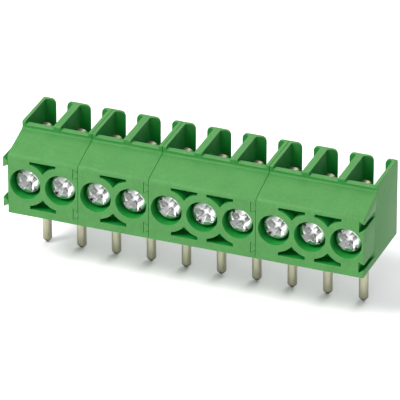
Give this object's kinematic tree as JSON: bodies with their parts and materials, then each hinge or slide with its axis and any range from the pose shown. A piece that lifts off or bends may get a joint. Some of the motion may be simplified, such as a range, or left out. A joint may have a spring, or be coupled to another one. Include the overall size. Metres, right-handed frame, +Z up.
{
  "type": "pcb screw terminal",
  "caption": "Row of screw wire clamps in a green dovetailed housing with front screws, wire funnels on top and solder pins below for a circuit board.",
  "frame": {"origin": "on the board's surface, on the line of the solder pins, in the middle of the row", "axes": "+X along the row towards the grooved end, +Y from the screws to the back, +Z up from the board"},
  "size_m": [0.0355, 0.0091, 0.0131],
  "materials": {
    "housing_plastic": "satin moulded polyamide",
    "zinc_plated_screw": "bright zinc plating",
    "plated_sleeve": "dull nickel plating",
    "tinned_contact": "matt tin plating"
  },
  "bodies": {
    "block": {"housing_1": "housing_plastic", "housing_2": "housing_plastic", "housing_3": "housing_plastic", "housing_4": "housing_plastic", "contact_pin_01": "tinned_contact", "contact_pin_02": "tinned_contact", "contact_pin_03": "tinned_contact", "contact_pin_04": "tinned_contact", "contact_pin_05": "tinned_contact", "contact_pin_06": "tinned_contact", "contact_pin_07": "tinned_contact", "contact_pin_08": "tinned_contact", "contact_pin_09": "tinned_contact", "contact_pin_10": "tinned_contact"},
    "screw_01": {"clamp_screw_01": "zinc_plated_screw"},
    "sleeve_01": {"clamp_sleeve_01": "plated_sleeve"},
    "screw_02": {"clamp_screw_02": "zinc_plated_screw"},
    "sleeve_02": {"clamp_sleeve_02": "plated_sleeve"},
    "screw_03": {"clamp_screw_03": "zinc_plated_screw"},
    "sleeve_03": {"clamp_sleeve_03": "plated_sleeve"},
    "screw_04": {"clamp_screw_04": "zinc_plated_screw"},
    "sleeve_04": {"clamp_sleeve_04": "plated_sleeve"},
    "screw_05": {"clamp_screw_05": "zinc_plated_screw"},
    "sleeve_05": {"clamp_sleeve_05": "plated_sleeve"},
    "screw_06": {"clamp_screw_06": "zinc_plated_screw"},
    "sleeve_06": {"clamp_sleeve_06": "plated_sleeve"},
    "screw_07": {"clamp_screw_07": "zinc_plated_screw"},
    "sleeve_07": {"clamp_sleeve_07": "plated_sleeve"},
    "screw_08": {"clamp_screw_08": "zinc_plated_screw"},
    "sleeve_08": {"clamp_sleeve_08": "plated_sleeve"},
    "screw_09": {"clamp_screw_09": "zinc_plated_screw"},
    "sleeve_09": {"clamp_sleeve_09": "plated_sleeve"},
    "screw_10": {"clamp_screw_10": "zinc_plated_screw"},
    "sleeve_10": {"clamp_sleeve_10": "plated_sleeve"}
  },
  "joints": [
    {"name": "screw_01_turn", "type": "hinge", "parent": "block", "child": "screw_01", "pos_m": [-0.01575, -0.003, 0.00325], "axis": [0, 1, 0], "range_deg": [0, 1130]},
    {"name": "sleeve_01_slide", "type": "slide", "parent": "block", "child": "sleeve_01", "axis": [0, -1, 0], "range_m": [0, 0.00125]},
    {"name": "screw_02_turn", "type": "hinge", "parent": "block", "child": "screw_02", "pos_m": [-0.01225, -0.003, 0.00325], "axis": [0, 1, 0], "range_deg": [0, 1130]},
    {"name": "sleeve_02_slide", "type": "slide", "parent": "block", "child": "sleeve_02", "axis": [0, -1, 0], "range_m": [0, 0.00125]},
    {"name": "screw_03_turn", "type": "hinge", "parent": "block", "child": "screw_03", "pos_m": [-0.00875, -0.003, 0.00325], "axis": [0, 1, 0], "range_deg": [0, 1130]},
    {"name": "sleeve_03_slide", "type": "slide", "parent": "block", "child": "sleeve_03", "axis": [0, -1, 0], "range_m": [0, 0.00125]},
    {"name": "screw_04_turn", "type": "hinge", "parent": "block", "child": "screw_04", "pos_m": [-0.00525, -0.003, 0.00325], "axis": [0, 1, 0], "range_deg": [0, 1130]},
    {"name": "sleeve_04_slide", "type": "slide", "parent": "block", "child": "sleeve_04", "axis": [0, -1, 0], "range_m": [0, 0.00125]},
    {"name": "screw_05_turn", "type": "hinge", "parent": "block", "child": "screw_05", "pos_m": [-0.00175, -0.003, 0.00325], "axis": [0, 1, 0], "range_deg": [0, 1130]},
    {"name": "sleeve_05_slide", "type": "slide", "parent": "block", "child": "sleeve_05", "axis": [0, -1, 0], "range_m": [0, 0.00125]},
    {"name": "screw_06_turn", "type": "hinge", "parent": "block", "child": "screw_06", "pos_m": [0.00175, -0.003, 0.00325], "axis": [0, 1, 0], "range_deg": [0, 1130]},
    {"name": "sleeve_06_slide", "type": "slide", "parent": "block", "child": "sleeve_06", "axis": [0, -1, 0], "range_m": [0, 0.00125]},
    {"name": "screw_07_turn", "type": "hinge", "parent": "block", "child": "screw_07", "pos_m": [0.00525, -0.003, 0.00325], "axis": [0, 1, 0], "range_deg": [0, 1130]},
    {"name": "sleeve_07_slide", "type": "slide", "parent": "block", "child": "sleeve_07", "axis": [0, -1, 0], "range_m": [0, 0.00125]},
    {"name": "screw_08_turn", "type": "hinge", "parent": "block", "child": "screw_08", "pos_m": [0.00875, -0.003, 0.00325], "axis": [0, 1, 0], "range_deg": [0, 1130]},
    {"name": "sleeve_08_slide", "type": "slide", "parent": "block", "child": "sleeve_08", "axis": [0, -1, 0], "range_m": [0, 0.00125]},
    {"name": "screw_09_turn", "type": "hinge", "parent": "block", "child": "screw_09", "pos_m": [0.01225, -0.003, 0.00325], "axis": [0, 1, 0], "range_deg": [0, 1130]},
    {"name": "sleeve_09_slide", "type": "slide", "parent": "block", "child": "sleeve_09", "axis": [0, -1, 0], "range_m": [0, 0.00125]},
    {"name": "screw_10_turn", "type": "hinge", "parent": "block", "child": "screw_10", "pos_m": [0.01575, -0.003, 0.00325], "axis": [0, 1, 0], "range_deg": [0, 1130]},
    {"name": "sleeve_10_slide", "type": "slide", "parent": "block", "child": "sleeve_10", "axis": [0, -1, 0], "range_m": [0, 0.00125]}
  ],
  "couplings": [
    {"joint": "screw_01_turn", "follows": "sleeve_01_slide", "rad_per_m": 15708},
    {"joint": "screw_02_turn", "follows": "sleeve_02_slide", "rad_per_m": 15708},
    {"joint": "screw_03_turn", "follows": "sleeve_03_slide", "rad_per_m": 15708},
    {"joint": "screw_04_turn", "follows": "sleeve_04_slide", "rad_per_m": 15708},
    {"joint": "screw_05_turn", "follows": "sleeve_05_slide", "rad_per_m": 15708},
    {"joint": "screw_06_turn", "follows": "sleeve_06_slide", "rad_per_m": 15708},
    {"joint": "screw_07_turn", "follows": "sleeve_07_slide", "rad_per_m": 15708},
    {"joint": "screw_08_turn", "follows": "sleeve_08_slide", "rad_per_m": 15708},
    {"joint": "screw_09_turn", "follows": "sleeve_09_slide", "rad_per_m": 15708},
    {"joint": "screw_10_turn", "follows": "sleeve_10_slide", "rad_per_m": 15708}
  ]
}
